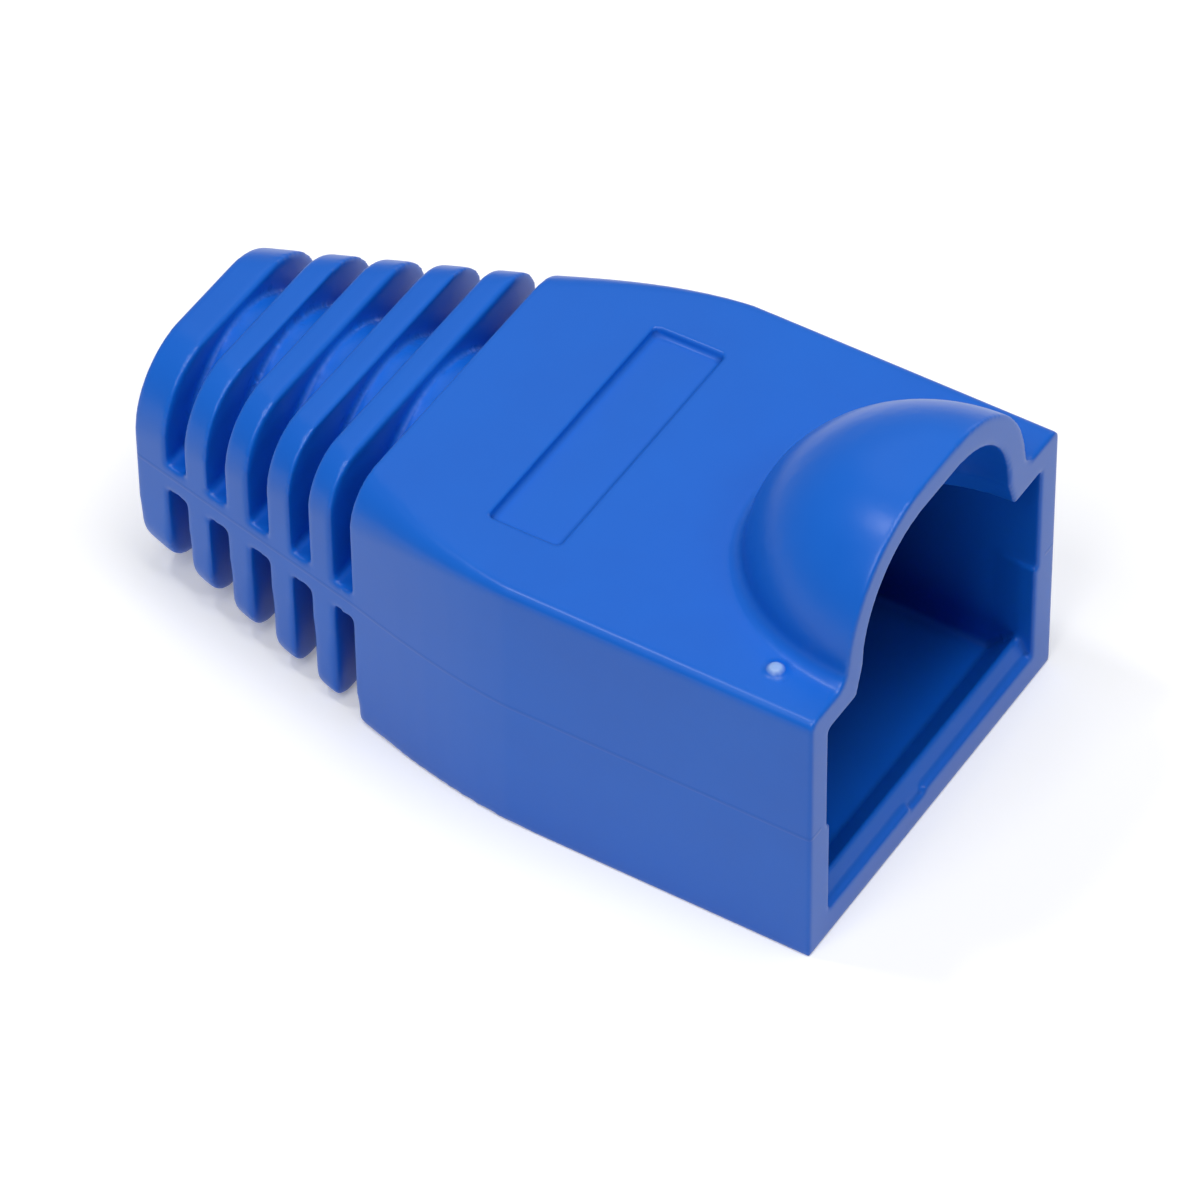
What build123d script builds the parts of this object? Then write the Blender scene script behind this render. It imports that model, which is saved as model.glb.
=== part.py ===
"""Strain relief boot for an eight-position modular plug.

One soft moulding: a sleeve that slips over the rear of the plug, a domed hood
that covers the plug's latch, and a tapering tail of ribs that lets the cable
bend without a kink. Millimetres. The long axis is X with the plug mouth at +X,
Y runs across and Z is up. The origin is under the middle of the part, on the
plane that it rests on.
"""
import os

from build123d import *

# Plug and cable that the boot fits
plug_width = 11.7
plug_clearance = 0.2
cable_diameter = 5.3
cable_clearance = 0.05

# Sleeve around the plug
side_wall = 0.95
bottom_wall = 0.6
top_wall = 1.0
cavity_height = 8.05
cavity_depth = 10.5
funnel_length = 4.0
mouth_top_radius = 0.35

# Shoulder: where the sleeve draws in to the waist
sleeve_length = 16.27
straight_length = 10.3
waist_width = 11.7
waist_height = 9.45
waist_top_radius = 1.45
shoulder_sections = 4
shoulder_curve = 1.45

# Tail of ribs
rib_count = 5
rib_thickness = 0.95
slot_width = 0.765
end_rib_thickness = 1.3
end_width = 7.85
end_height = 7.6
end_lift = 0.76
end_top_radius = 2.55
waist_bottom_radius = 0.55
end_bottom_radius = 1.6

# Core inside the ribs, and the spine that ties them on each side
slot_floor_depth = 0.4
slot_depth_at_waist = 1.9
slot_web = 0.4
spine_top = 5.3
spine_height = 1.0

# Hood over the latch
hood_width = 10.2
hood_height = 4.35
hood_length = 5.75
hood_crown_width = 1.9
hood_wall = 0.95
hood_foot_radius = 0.55
latch_opening_width = 9.0

# Sill of the mouth, and the ridge behind it that holds the plug
sill_height = 0.45
ridge_setback = 0.2
ridge_face_length = 0.35
ridge_slope_length = 0.95
ridge_height = 1.1
side_ridge_thickness = 0.15
side_ridge_top = 4.65
notch_width = 0.9
notch_depth = 0.15
notch_side = 0.8

# Label recess and gate mark on the top
label_distance = 9.86
label_length = 2.4
label_width = 9.15
label_depth = 0.25
gate_mark_distance = 2.0
gate_mark_side = 5.65
gate_mark_diameter = 0.5
gate_mark_height = 0.2

# Sizes that follow from the ones above
cavity_width = plug_width + 2 * plug_clearance
bore_radius = cable_diameter / 2 + cable_clearance
mouth_width = cavity_width + 2 * side_wall
ceiling = bottom_wall + cavity_height
mouth_height = ceiling + top_wall
pitch = rib_thickness + slot_width
tail_length = rib_count * pitch - rib_thickness + end_rib_thickness
total_length = sleeve_length + tail_length
mouth_x = total_length / 2
bend_x = mouth_x - straight_length
waist_x = mouth_x - sleeve_length
end_x = -total_length / 2
cavity_back_x = mouth_x - cavity_depth
funnel_back_x = cavity_back_x - funnel_length
bore_level = end_lift + end_height / 2
level_tolerance = 0.001


def across(x, width, bottom, top, bottom_radius, top_radius):
    """The outline of the outside at the station x, with its corners rounded."""
    with BuildSketch(Plane.YZ.offset(x)) as outline:
        with Locations((0, (bottom + top) / 2)):
            Rectangle(width, top - bottom)
        fillet(outline.vertices().group_by(Axis.Y)[-1], top_radius)
        if bottom_radius > 0:
            fillet(outline.vertices().group_by(Axis.Y)[0], bottom_radius)
    return outline.sketch


def mix(share, start, finish):
    """The value that lies the given share of the way from start to finish."""
    return start + share * (finish - start)


def drawn_in(x):
    """How far the sleeve has drawn in at the station x: 0 at the bend, 1 at the waist."""
    return max(0, (bend_x - x) / (bend_x - waist_x)) ** shoulder_curve


def top_level(x):
    """Height of the sleeve's top at the station x, level as far as the bend."""
    return mix(drawn_in(x), mouth_height, waist_height)


# Outer form: the sleeve, straight from the mouth and then drawn in along the shoulder, and the tail
with BuildPart() as boot:
    loft([
        across(mouth_x, mouth_width, 0, mouth_height, 0, mouth_top_radius),
        across(bend_x, mouth_width, 0, mouth_height, 0, mouth_top_radius),
    ], ruled=True)
    shoulder = []
    for number in range(shoulder_sections):
        x = mix(number / (shoulder_sections - 1), bend_x, waist_x)
        shoulder.append(across(
            x,
            mix(drawn_in(x), mouth_width, waist_width),
            0,
            top_level(x),
            0,
            mix(drawn_in(x), mouth_top_radius, waist_top_radius),
        ))
    loft(shoulder)
    # Tail, tapered from the waist to the end and rounded along its bottom too
    loft([
        across(waist_x, waist_width, 0, waist_height, waist_bottom_radius, waist_top_radius),
        across(end_x, end_width, end_lift, end_lift + end_height,
               end_bottom_radius, end_top_radius),
    ], ruled=True)

# Core: an oval cone that the ribs stand on, just under their tops and well inside their sides
with BuildPart() as core:
    ovals = []
    for x, bottom, top, half_width in (
        (waist_x, 0, waist_height, waist_width / 2 - slot_depth_at_waist),
        (end_x, end_lift, end_lift + end_height, bore_radius + slot_web),
    ):
        with BuildSketch(Plane.YZ.offset(x)) as oval:
            with Locations((0, (top + bottom) / 2)):
                Ellipse(half_width, (top - bottom) / 2 - slot_floor_depth)
        ovals.append(oval.sketch)
    loft(ovals, ruled=True)

# Slots between the ribs, stopped by the core and by the spine on each side
with BuildPart() as slots:
    for number in range(rib_count):
        with BuildSketch(Plane.YZ.offset(waist_x - number * pitch - slot_width)):
            with Locations((0, mouth_height / 2)):
                Rectangle(2 * mouth_width, 2 * mouth_height)
            with Locations((0, spine_top - spine_height / 2)):
                Rectangle(2 * mouth_width, spine_height, mode=Mode.SUBTRACT)
        extrude(amount=slot_width)
    add(core.part, mode=Mode.SUBTRACT)


def dome(half_width, height, length, foot_half_width):
    """Half a dome behind the mouth plane, from an arch turned about its upright axis."""
    half_crown = hood_crown_width / 2
    with BuildPart() as half:
        with BuildSketch(Plane.YZ):
            with BuildLine():
                EllipticalCenterArc((half_crown, mouth_height), half_width - half_crown, height,
                                    start_angle=0, arc_size=90)
                Polyline((half_crown, mouth_height + height), (0, mouth_height + height),
                         (0, ceiling), (foot_half_width, ceiling), (half_width, mouth_height))
            make_face()
        revolve(axis=Axis.Z, revolution_arc=180)
        scale(by=(length / half_width, 1, 1))
    return half.part.moved(Location((mouth_x, 0, 0)))


# Hood, blended into the top by a hollow radius
with boot:
    add(slots.part, mode=Mode.SUBTRACT)
    add(dome(hood_width / 2, hood_height, hood_length, hood_width / 2))
    curved_edges = boot.edges().filter_by(GeomType.BSPLINE)
    hood_foot = curved_edges.filter_by_position(Axis.Z, mouth_height - level_tolerance,
                                                mouth_height + level_tolerance)
    fillet(hood_foot, hood_foot_radius)

# Inside: plug cavity, funnel and cable bore
ridge_x = mouth_x - ridge_setback
ridge_end_x = ridge_x - ridge_face_length - ridge_slope_length
with BuildPart() as hollow:
    with BuildSketch(Plane.YZ.offset(mouth_x)):
        with Locations((0, bottom_wall + cavity_height / 2)):
            Rectangle(cavity_width, cavity_height)
    extrude(amount=-cavity_depth)
    # Sill and ridge left standing across the floor
    with BuildSketch(Plane.XZ):
        with BuildLine():
            Polyline(
                (mouth_x, bottom_wall),
                (mouth_x, bottom_wall + sill_height),
                (ridge_x, bottom_wall + sill_height),
                (ridge_x - ridge_face_length, bottom_wall + ridge_height),
                (ridge_end_x, bottom_wall),
                close=True,
            )
        make_face()
    extrude(amount=cavity_width / 2, both=True, mode=Mode.SUBTRACT)
    # Ridges left standing up the lower half of the sides
    with BuildSketch(Plane.XY.offset(bottom_wall)):
        for side in (-1, 1):
            with BuildLine():
                Polyline(
                    (mouth_x, side * cavity_width / 2),
                    (mouth_x, side * (cavity_width / 2 - side_ridge_thickness)),
                    (ridge_x - ridge_face_length,
                     side * (cavity_width / 2 - side_ridge_thickness)),
                    (ridge_end_x, side * cavity_width / 2),
                    close=True,
                )
            make_face()
    extrude(amount=side_ridge_top - bottom_wall, mode=Mode.SUBTRACT)
    # Notch in the sill
    with BuildSketch(Plane.YZ.offset(mouth_x)):
        with Locations((-notch_side, bottom_wall + sill_height - notch_depth / 2)):
            Rectangle(notch_width, notch_depth)
    extrude(amount=-ridge_setback)

with BuildPart() as cable_way:
    with BuildSketch(Plane.YZ.offset(cavity_back_x)):
        with Locations((0, bottom_wall + cavity_height / 2)):
            Rectangle(cavity_width, cavity_height)
    with BuildSketch(Plane.YZ.offset(funnel_back_x)) as bore:
        with Locations((0, bore_level)):
            Circle(bore_radius)
    loft(ruled=True)
    extrude(bore.sketch, amount=end_x - funnel_back_x)

with boot:
    add(hollow.part, mode=Mode.SUBTRACT)
    add(dome(hood_width / 2 - hood_wall, hood_height - hood_wall, hood_length - hood_wall,
             latch_opening_width / 2), mode=Mode.SUBTRACT)
    add(cable_way.part, mode=Mode.SUBTRACT)

# Label recess, its floor parallel to the top
label_x = mouth_x - label_distance
label_back_x = label_x - label_length
with boot:
    with BuildSketch(Plane.XZ):
        with BuildLine():
            Polyline(
                (label_x, top_level(label_x) - label_depth),
                (label_back_x, top_level(label_back_x) - label_depth),
                (label_back_x, mouth_height + label_depth),
                (label_x, mouth_height + label_depth),
                close=True,
            )
        make_face()
    extrude(amount=label_width / 2, both=True, mode=Mode.SUBTRACT)
    # Gate mark: a low round pip
    with Locations((mouth_x - gate_mark_distance, -gate_mark_side, mouth_height)):
        Cylinder(gate_mark_diameter / 2, gate_mark_height,
                 align=(Align.CENTER, Align.CENTER, Align.MIN))

os.makedirs("parts", exist_ok=True)
boot.part.label = "strain_relief_boot"
export_step(boot.part, "parts/strain_relief_boot.step")
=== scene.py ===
# %% [markdown]
# # Strain relief boot for a network plug
#
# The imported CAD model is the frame. This script dresses it: a copy of the moulding
# with softened edges, a satin plastic made of nodes, a pale floor, soft studio light
# and a camera at the photograph's angle. Lengths are metres, so one millimetre is
# 0.001, and +X points along the part towards the plug's mouth.

# %% Load the frame
import math

import bpy
import bmesh
import numpy as np
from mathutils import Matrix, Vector


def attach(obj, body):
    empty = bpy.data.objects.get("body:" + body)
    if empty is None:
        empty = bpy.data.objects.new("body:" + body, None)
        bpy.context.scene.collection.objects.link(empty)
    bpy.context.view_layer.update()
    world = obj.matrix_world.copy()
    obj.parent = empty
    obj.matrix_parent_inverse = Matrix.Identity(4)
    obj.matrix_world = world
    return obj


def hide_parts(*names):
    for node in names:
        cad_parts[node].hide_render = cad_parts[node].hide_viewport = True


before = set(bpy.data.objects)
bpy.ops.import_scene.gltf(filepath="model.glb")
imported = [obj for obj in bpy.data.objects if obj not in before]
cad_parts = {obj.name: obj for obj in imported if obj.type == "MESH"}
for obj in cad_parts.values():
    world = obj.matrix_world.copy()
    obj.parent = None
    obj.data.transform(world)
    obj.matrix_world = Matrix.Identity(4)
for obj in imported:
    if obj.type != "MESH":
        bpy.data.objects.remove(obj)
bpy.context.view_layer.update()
boot_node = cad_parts["strain_relief_boot"]
MM = 0.001

# %% [markdown]
# ## The moulding
#
# The CAD mesh is loose triangles. A copy has its points merged and is then rebuilt
# from small cells of one size, so that its sharp edges can be rounded evenly, as a
# soft moulding's are. The copy stands for the CAD node, which MuJoCo keeps.

# %% Merge a copy of the CAD mesh
boot = bpy.data.objects.new("boot", boot_node.data.copy())
bpy.context.scene.collection.objects.link(boot)
mesh = bmesh.new()
mesh.from_mesh(boot.data)
bmesh.ops.remove_doubles(mesh, verts=mesh.verts, dist=0.0005 * MM)
bmesh.ops.recalc_face_normals(mesh, faces=mesh.faces)
mesh.to_mesh(boot.data)
open_edges = sum(1 for edge in mesh.edges if len(edge.link_faces) != 2)
mesh.free()
print("boot:", len(boot.data.polygons), "faces,", open_edges, "edges not shared by two faces")

# %% Even out the mesh
cell_size = 0.08 * MM
even_mesh = boot.modifiers.new("even_mesh", "REMESH")
even_mesh.mode = "VOXEL"
even_mesh.voxel_size = cell_size
view = bpy.context.evaluated_depsgraph_get()
boot.data = bpy.data.meshes.new_from_object(boot.evaluated_get(view))
boot.modifiers.clear()
print("even mesh:", len(boot.data.vertices), "points")

# %% [markdown]
# ## Rounder places
#
# Some places are rounder than the other edges: the ribs, most of all their lower ends,
# the shoulder with its bottom edge and the gate mark. A vertex group marks them, from
# nothing at the border of each place to full strength inside it. The label recess is
# left out. So are the slots' floors above the ribs' lower ends: there the ribs are
# marked only where they stand clear of the oval core between them. The numbers are
# millimetres, and strengths between 0 and 1.

# %% Mark the rounder places
def fade(value, nothing_at, full_at):
    """0 at one value, 1 at the other, even between them and level past them."""
    return np.clip((value - nothing_at) / (full_at - nothing_at), 0, 1)


points = np.empty(len(boot.data.vertices) * 3)
boot.data.vertices.foreach_get("co", points)
x, y, z = (points.reshape(-1, 3) / MM).T
waist_x, tail_end_x = -3.67, -12.6
first_rib_x = -3.75

on_tail = x < first_rib_x
rib_ends = fade(z, 3.4, 2.4) * on_tail

from_waist = fade(x, waist_x, tail_end_x)
core_width = 3.95 - 0.85 * from_waist
core_height = 4.325 - 0.925 * from_waist
core_middle = 4.725 - 0.165 * from_waist
clear_of_core = np.hypot(y / core_width, (z - core_middle) / core_height)
rib_edges = 0.2 * fade(clear_of_core, 1.03, 1.07) * (x < -4.1)

drawn_in = fade(x, 3.2, 2.6)
shoulder = 0.12 * drawn_in * (x >= -3.4)
shoulder_edge = 0.3 * drawn_in * (z < 0.45) * (abs(y) > 4.5) * ~on_tail
waist_corner = fade(x, -1.4, -2.4) * fade(z, 1.2, 0.6) * ~on_tail

gate_edge = 0.35 * (np.hypot(x - 10.5975, y + 5.65) < 0.45) * (z > 9.5)

strength = np.maximum.reduce(
    [rib_ends, rib_edges, waist_corner, shoulder_edge, shoulder, gate_edge]
)
label_recess = (x > 0.1) & (x < 3.0) & (abs(y) < 4.85) & (z > 9.0)
strength[label_recess] = 0

rounder = boot.vertex_groups.new(name="rounder")
levels = 10
steps = np.round(strength * levels).astype(int)
for step in range(1, levels + 1):
    rounder.add(np.nonzero(steps == step)[0].tolist(), step / levels, "REPLACE")
print("points in the rounder places:", int((steps > 0).sum()))

# %% [markdown]
# ## Softening
#
# A smooth modifier works over the whole boot, and a second, longer one over the
# rounder places only. The mesh is then thinned out, most of all where it is flat.

# %% Soften the edges
soften = boot.modifiers.new("soften", "SMOOTH")
soften.factor = 0.5
soften.iterations = 5
soften_more = boot.modifiers.new("soften_more", "SMOOTH")
soften_more.factor = 0.5
soften_more.iterations = 50
soften_more.vertex_group = "rounder"
thin_out = boot.modifiers.new("thin_out", "DECIMATE")
thin_out.ratio = 0.22
view = bpy.context.evaluated_depsgraph_get()
boot.data = bpy.data.meshes.new_from_object(boot.evaluated_get(view))
boot.modifiers.clear()
boot.vertex_groups.clear()
boot.data.shade_smooth()
print("softened boot:", len(boot.data.polygons), "faces")

# %% [markdown]
# ## The plastic
#
# Soft PVC in a bright blue, satin smooth. Nodes that read Object coordinates give it
# a fine grain, a little drift in colour and gloss, the faint parting line of the
# mould along both sides, and a painted highlight, a pale spot, on the gate mark. The
# sleeve's inside and the hollow creases get painted shade: a deeper colour, and more
# roughness. The Geometry node's Pointiness, which is under 0.5 where the surface is
# hollow, finds the creases.

# %% Material helpers
def new_material(name):
    """An empty node material and its tree."""
    material = bpy.data.materials.new(name)
    material.use_nodes = True
    material.node_tree.nodes.clear()
    return material, material.node_tree


def add_node(tree, kind, **settings):
    """A node with its settings and input values."""
    node = tree.nodes.new(kind)
    for key, value in settings.items():
        if key in node.inputs:
            node.inputs[key].default_value = value
        else:
            setattr(node, key, value)
    return node


def calculate(tree, operation, first, second=0.0):
    """A Math node over two values, each a number or another node's output."""
    node = tree.nodes.new("ShaderNodeMath")
    node.operation = operation
    for socket, value in zip(node.inputs, (first, second)):
        if isinstance(value, (int, float)):
            socket.default_value = value
        else:
            tree.links.new(value, socket)
    return node.outputs[0]


def ramp_between(tree, value, low, high, to_low=0.0, to_high=1.0):
    """A Map Range node that stays within its ends."""
    node = tree.nodes.new("ShaderNodeMapRange")
    tree.links.new(value, node.inputs["Value"])
    node.inputs["From Min"].default_value = low
    node.inputs["From Max"].default_value = high
    node.inputs["To Min"].default_value = to_low
    node.inputs["To Max"].default_value = to_high
    return node.outputs["Result"]


def blend_colour(tree, share, first, second):
    """A colour mix; each colour is a tuple or another node's output."""
    node = tree.nodes.new("ShaderNodeMix")
    node.data_type = "RGBA"
    tree.links.new(share, node.inputs["Factor"])
    for socket, value in zip((node.inputs[6], node.inputs[7]), (first, second)):
        if isinstance(value, tuple):
            socket.default_value = (*value, 1)
        else:
            tree.links.new(value, socket)
    return node.outputs[2]


# %% Blue PVC: the shader, the coordinates and the two noises
pvc, tree = new_material("blue_pvc")
output = add_node(tree, "ShaderNodeOutputMaterial")
shader = add_node(tree, "ShaderNodeBsdfPrincipled")
shader.inputs["IOR"].default_value = 1.5
shader.inputs["Specular IOR Level"].default_value = 0.35
coords = add_node(tree, "ShaderNodeTexCoord")
place = coords.outputs["Object"]
axes = add_node(tree, "ShaderNodeSeparateXYZ")
tree.links.new(place, axes.inputs[0])
along, across, up = axes.outputs

drift = add_node(tree, "ShaderNodeTexNoise", Scale=170.0, Detail=3.0, Roughness=0.55)
tree.links.new(place, drift.inputs["Vector"])
grain_noise = add_node(tree, "ShaderNodeTexNoise", Scale=5200.0, Detail=2.0, Roughness=0.5)
tree.links.new(place, grain_noise.inputs["Vector"])

# %% Parting line of the mould, on the outside of both sides
line_height = 4.95 * MM
off_line = calculate(tree, "ABSOLUTE", calculate(tree, "SUBTRACT", up, line_height))
near_line = ramp_between(tree, off_line, 0.03 * MM, 0.09 * MM, 1.0, 0.0)
outside_from = ramp_between(tree, along, -12.6 * MM, 0.0, 3.3 * MM, 6.4 * MM)
outside = calculate(tree, "GREATER_THAN", calculate(tree, "ABSOLUTE", across), outside_from)
parting_line = calculate(tree, "MULTIPLY", near_line, outside)

# %% Inside of the sleeve: painted shade, a deeper colour and more roughness towards the back
inside = calculate(tree, "LESS_THAN", calculate(tree, "ABSOLUTE", across), outside_from)
for low_limit, value, high_limit in (
    (0.5 * MM, up, 8.75 * MM),
    (-3.6 * MM, along, 13.0 * MM),
):
    inside = calculate(tree, "MULTIPLY", inside, calculate(tree, "GREATER_THAN", value, low_limit))
    inside = calculate(tree, "MULTIPLY", inside, calculate(tree, "LESS_THAN", value, high_limit))
depth = ramp_between(tree, along, 10.8 * MM, 7.0 * MM)
# Painted shade: the sleeve's inside gets a deeper blue the further back it lies.
painted_shade_and_dull = calculate(tree, "MULTIPLY", inside, depth)

# %% Hollow creases: painted shade, a deeper colour and more roughness than the open faces
form = add_node(tree, "ShaderNodeNewGeometry")
# Painted shade in the hollow creases, found by Pointiness.
painted_crease_shade = ramp_between(tree, form.outputs["Pointiness"], 0.49, 0.45)

# %% Painted highlight on the gate mark beside the hood
gate_place = (10.5975 * MM, -5.65 * MM, 9.8 * MM)
gate_distance = add_node(tree, "ShaderNodeVectorMath", operation="DISTANCE")
tree.links.new(place, gate_distance.inputs[0])
gate_distance.inputs[1].default_value = gate_place
painted_gate_highlight = ramp_between(tree, gate_distance.outputs["Value"], 0.16 * MM, 0.30 * MM, 1.0, 0.0)

# %% Colour, gloss and grain
drift_share = ramp_between(tree, drift.outputs[0], 0.35, 0.65)
colour = blend_colour(tree, drift_share, (0.0030, 0.1280, 0.6350), (0.0050, 0.1400, 0.6700))
colour = blend_colour(tree, calculate(tree, "MULTIPLY", parting_line, 0.30), colour, (0.003, 0.090, 0.50))
# Painted highlight: a pale blue-white spot on the gate pip.
colour = blend_colour(tree, calculate(tree, "MULTIPLY", painted_gate_highlight, 0.75), colour, (0.42, 0.60, 0.92))
# The painted shade of the creases joins that of the inside.
painted_shade_and_dull = calculate(tree, "MAXIMUM", painted_shade_and_dull, calculate(tree, "MULTIPLY", painted_crease_shade, 0.6))
# Painted shade: the inside and the hollow creases are mixed towards a deeper blue.
colour = blend_colour(tree, painted_shade_and_dull, colour, (0.0015, 0.060, 0.340))
tree.links.new(colour, shader.inputs["Base Color"])
gloss = ramp_between(tree, drift.outputs[0], 0.3, 0.7, 0.29, 0.35)
gloss = calculate(tree, "ADD", gloss, calculate(tree, "MULTIPLY", painted_shade_and_dull, 0.2))
gloss = calculate(tree, "ADD", gloss, calculate(tree, "MULTIPLY", painted_crease_shade, 0.35))
tree.links.new(gloss, shader.inputs["Roughness"])

relief = calculate(
    tree,
    "ADD",
    calculate(tree, "MULTIPLY", grain_noise.outputs[0], 0.10),
    calculate(tree, "MULTIPLY", parting_line, 0.6),
)
bump = add_node(tree, "ShaderNodeBump", Strength=0.5, Distance=0.02 * MM)
tree.links.new(relief, bump.inputs["Height"])
tree.links.new(bump.outputs[0], shader.inputs["Normal"])
tree.links.new(shader.outputs[0], output.inputs["Surface"])

boot.data.materials.clear()
boot.data.materials.append(pvc)
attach(boot, "root")
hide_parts("strain_relief_boot")
print("plastic:", len(tree.nodes), "nodes")

# %% [markdown]
# ## Floor and backdrop
#
# A white floor. Seen directly, in a reflection or through something clear, it is a
# little brighter than the light on it makes it, so that it comes out as white and
# still shows the boot's shadow. Far from the boot, where the lamps don't reach, the
# floor seen directly brightens on its own, up to the white of the world behind it.

# %% Floor
floor_size = 3.0
bpy.ops.mesh.primitive_plane_add(size=floor_size, location=(0, 0, 0))
floor = bpy.context.object
floor.name = "floor"
paper, tree = new_material("white_paper")
output = add_node(tree, "ShaderNodeOutputMaterial")
diffuse = add_node(tree, "ShaderNodeBsdfDiffuse")
diffuse.inputs["Color"].default_value = (0.9, 0.9, 0.9, 1)
glow = add_node(tree, "ShaderNodeEmission")
paths = add_node(tree, "ShaderNodeLightPath")
direct = calculate(tree, "MAXIMUM", paths.outputs["Is Camera Ray"], paths.outputs["Is Transmission Ray"])
seen = calculate(tree, "MAXIMUM", direct, paths.outputs["Is Glossy Ray"])
coords = add_node(tree, "ShaderNodeTexCoord")
from_middle = add_node(tree, "ShaderNodeVectorMath", operation="LENGTH")
tree.links.new(coords.outputs["Object"], from_middle.inputs[0])
far_off = ramp_between(tree, from_middle.outputs["Value"], 0.08, 0.50, 0.0, 0.75)
strength = calculate(
    tree,
    "ADD",
    calculate(tree, "MULTIPLY", seen, 0.25),
    calculate(tree, "MULTIPLY", direct, far_off),
)
tree.links.new(strength, glow.inputs["Strength"])
both = add_node(tree, "ShaderNodeAddShader")
tree.links.new(diffuse.outputs[0], both.inputs[0])
tree.links.new(glow.outputs[0], both.inputs[1])
tree.links.new(both.outputs[0], output.inputs["Surface"])
floor.data.materials.append(paper)

# %% World
world = bpy.data.worlds.new("studio")
bpy.context.scene.world = world
world.use_nodes = True
tree = world.node_tree
paths = add_node(tree, "ShaderNodeLightPath")
direct = calculate(tree, "MAXIMUM", paths.outputs["Is Camera Ray"], paths.outputs["Is Transmission Ray"])
seen = calculate(tree, "MAXIMUM", direct, calculate(tree, "MULTIPLY", paths.outputs["Is Glossy Ray"], 0.4))
tree.links.new(ramp_between(tree, seen, 0.0, 1.0, 0.04, 1.0), tree.nodes["Background"].inputs["Strength"])
tree.nodes["Background"].inputs["Color"].default_value = (1, 1, 1, 1)

# %% [markdown]
# ## Light
#
# Lamps half a metre away: a broad one overhead, one at the near side, weak ones at the
# far side, behind and in front of the mouth, and a small one high at the rear that
# draws the short lights on the ribs' corners and on the hood.

# %% Lamps
def area_lamp(name, azimuth, elevation, width, height, power, distance=0.5):
    """A rectangular area lamp that points at the boot from the given angles in degrees."""
    data = bpy.data.lights.new(name, "AREA")
    data.shape = "RECTANGLE"
    data.size = width
    data.size_y = height
    data.energy = power
    lamp = bpy.data.objects.new(name, data)
    turn, rise = math.radians(azimuth), math.radians(elevation)
    toward = Vector((math.cos(turn) * math.cos(rise), math.sin(turn) * math.cos(rise), math.sin(rise)))
    lamp.location = toward * distance
    lamp.rotation_euler = (-toward).to_track_quat("-Z", "Y").to_euler()
    bpy.context.scene.collection.objects.link(lamp)
    print(name, [round(c, 3) for c in lamp.location], power, "W")
    return lamp


area_lamp("overhead", 0, 80, 0.22, 0.22, 1.04)
area_lamp("near_side", 270, 56, 0.22, 0.22, 0.79)
area_lamp("far_side", 90, 25, 0.22, 0.22, 0.18)
area_lamp("in_front", 0, 50, 0.12, 0.12, 0.26)
area_lamp("behind", 130, 48, 0.22, 0.22, 0.09)
area_lamp("rear_spot", 195, 67, 0.05, 0.06, 0.34)

# %% [markdown]
# ## Camera
#
# The camera was fitted to the corners and straight edges of the boot in the
# photograph: a long lens about a quarter of a metre away.

# %% Camera at the photograph's angle
camera_data = bpy.data.cameras.new("camera")
camera_data.sensor_width = 36
camera_data.lens = 249.043
camera_data.clip_end = 10
camera = bpy.data.objects.new("camera", camera_data)
camera.location = (93.185 * MM, -145.224 * MM, 177.975 * MM)
camera.rotation_euler = [math.radians(angle) for angle in (44.4228, 0.5365, 31.8032)]
bpy.context.scene.collection.objects.link(camera)
bpy.context.scene.camera = camera

bpy.context.scene.view_settings.view_transform = "Standard"
